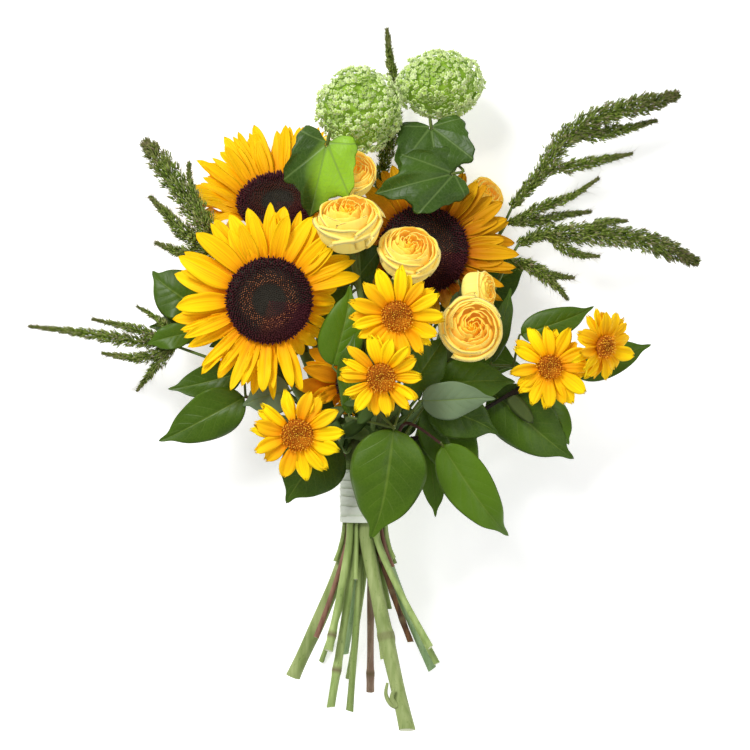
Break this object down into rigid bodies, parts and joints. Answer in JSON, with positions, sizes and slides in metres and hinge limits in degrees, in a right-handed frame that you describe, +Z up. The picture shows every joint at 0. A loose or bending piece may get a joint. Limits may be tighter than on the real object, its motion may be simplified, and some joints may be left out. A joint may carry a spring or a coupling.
{
  "type": "bouquet",
  "caption": "Hand-tied bouquet of sunflowers, spray roses, golden daisies, green snowballs, wild grasses and broad leaves, bound with pale tape, lying on its back.",
  "frame": {"origin": "below the middle of the bouquet's outline, on the table it lies on", "axes": "+X to the bouquet's right, +Y from the stems towards the flower heads, +Z up, out of the bouquet's front"},
  "size_m": [0.4713, 0.4919, 0.1476],
  "materials": {
    "petal": "velvety, unglossed",
    "deep_petal": "velvety, unglossed",
    "disc": "bristly and matt",
    "rose": "silky petal",
    "daisy": "silky petal",
    "daisy_centre": "bristly and matt",
    "floret": "soft petal",
    "stem": "smooth living stem",
    "salal": "leathery leaf with a soft sheen",
    "lobed": "leaf with a soft sheen",
    "panicle": "dry seed heads",
    "tape": "waxed paper tape"
  },
  "bodies": {
    "root": {"binding": "tape", "daisy_1_centre": "daisy_centre", "daisy_1_petals": "daisy", "daisy_2_centre": "daisy_centre", "daisy_2_petals": "daisy", "daisy_3_centre": "daisy_centre", "daisy_3_petals": "daisy", "daisy_4_centre": "daisy_centre", "daisy_4_petals": "daisy", "daisy_5_centre": "daisy_centre", "daisy_5_petals": "daisy", "daisy_stem_left": "stem", "daisy_stems_middle": "stem", "daisy_stems_right": "stem", "panicle_lower_right": "panicle", "panicle_right": "panicle", "panicle_top": "panicle", "panicle_upper_right": "panicle", "panicles_inner_right": "panicle", "panicles_left": "panicle", "panicles_upper_left": "panicle", "rose_1": "rose", "rose_2": "rose", "rose_3": "rose", "rose_4": "rose", "rose_5": "rose", "rose_6": "rose", "rose_stems_middle": "stem", "rose_stems_right": "stem", "salal_back_left": "salal", "salal_back_right": "salal", "salal_behind_daisy": "salal", "salal_far_right": "salal", "salal_front": "salal", "salal_left": "salal", "salal_lower_left": "salal", "salal_lower_right": "salal", "salal_right": "salal", "salal_twig": "salal", "snowball_left": "floret", "snowball_right": "floret", "sunflower_a_disc": "disc", "sunflower_a_petals": "petal", "sunflower_a_stem": "stem", "sunflower_b_disc": "disc", "sunflower_b_petals": "petal", "sunflower_b_stem": "stem", "sunflower_c_disc": "disc", "sunflower_c_petals": "petal", "sunflower_c_stem": "stem", "sunflower_d_disc": "disc", "sunflower_d_petals": "deep_petal", "sunflower_d_stem": "stem", "viburnum_stem_left": "lobed", "viburnum_stem_right": "lobed"}
  },
  "joints": []
}
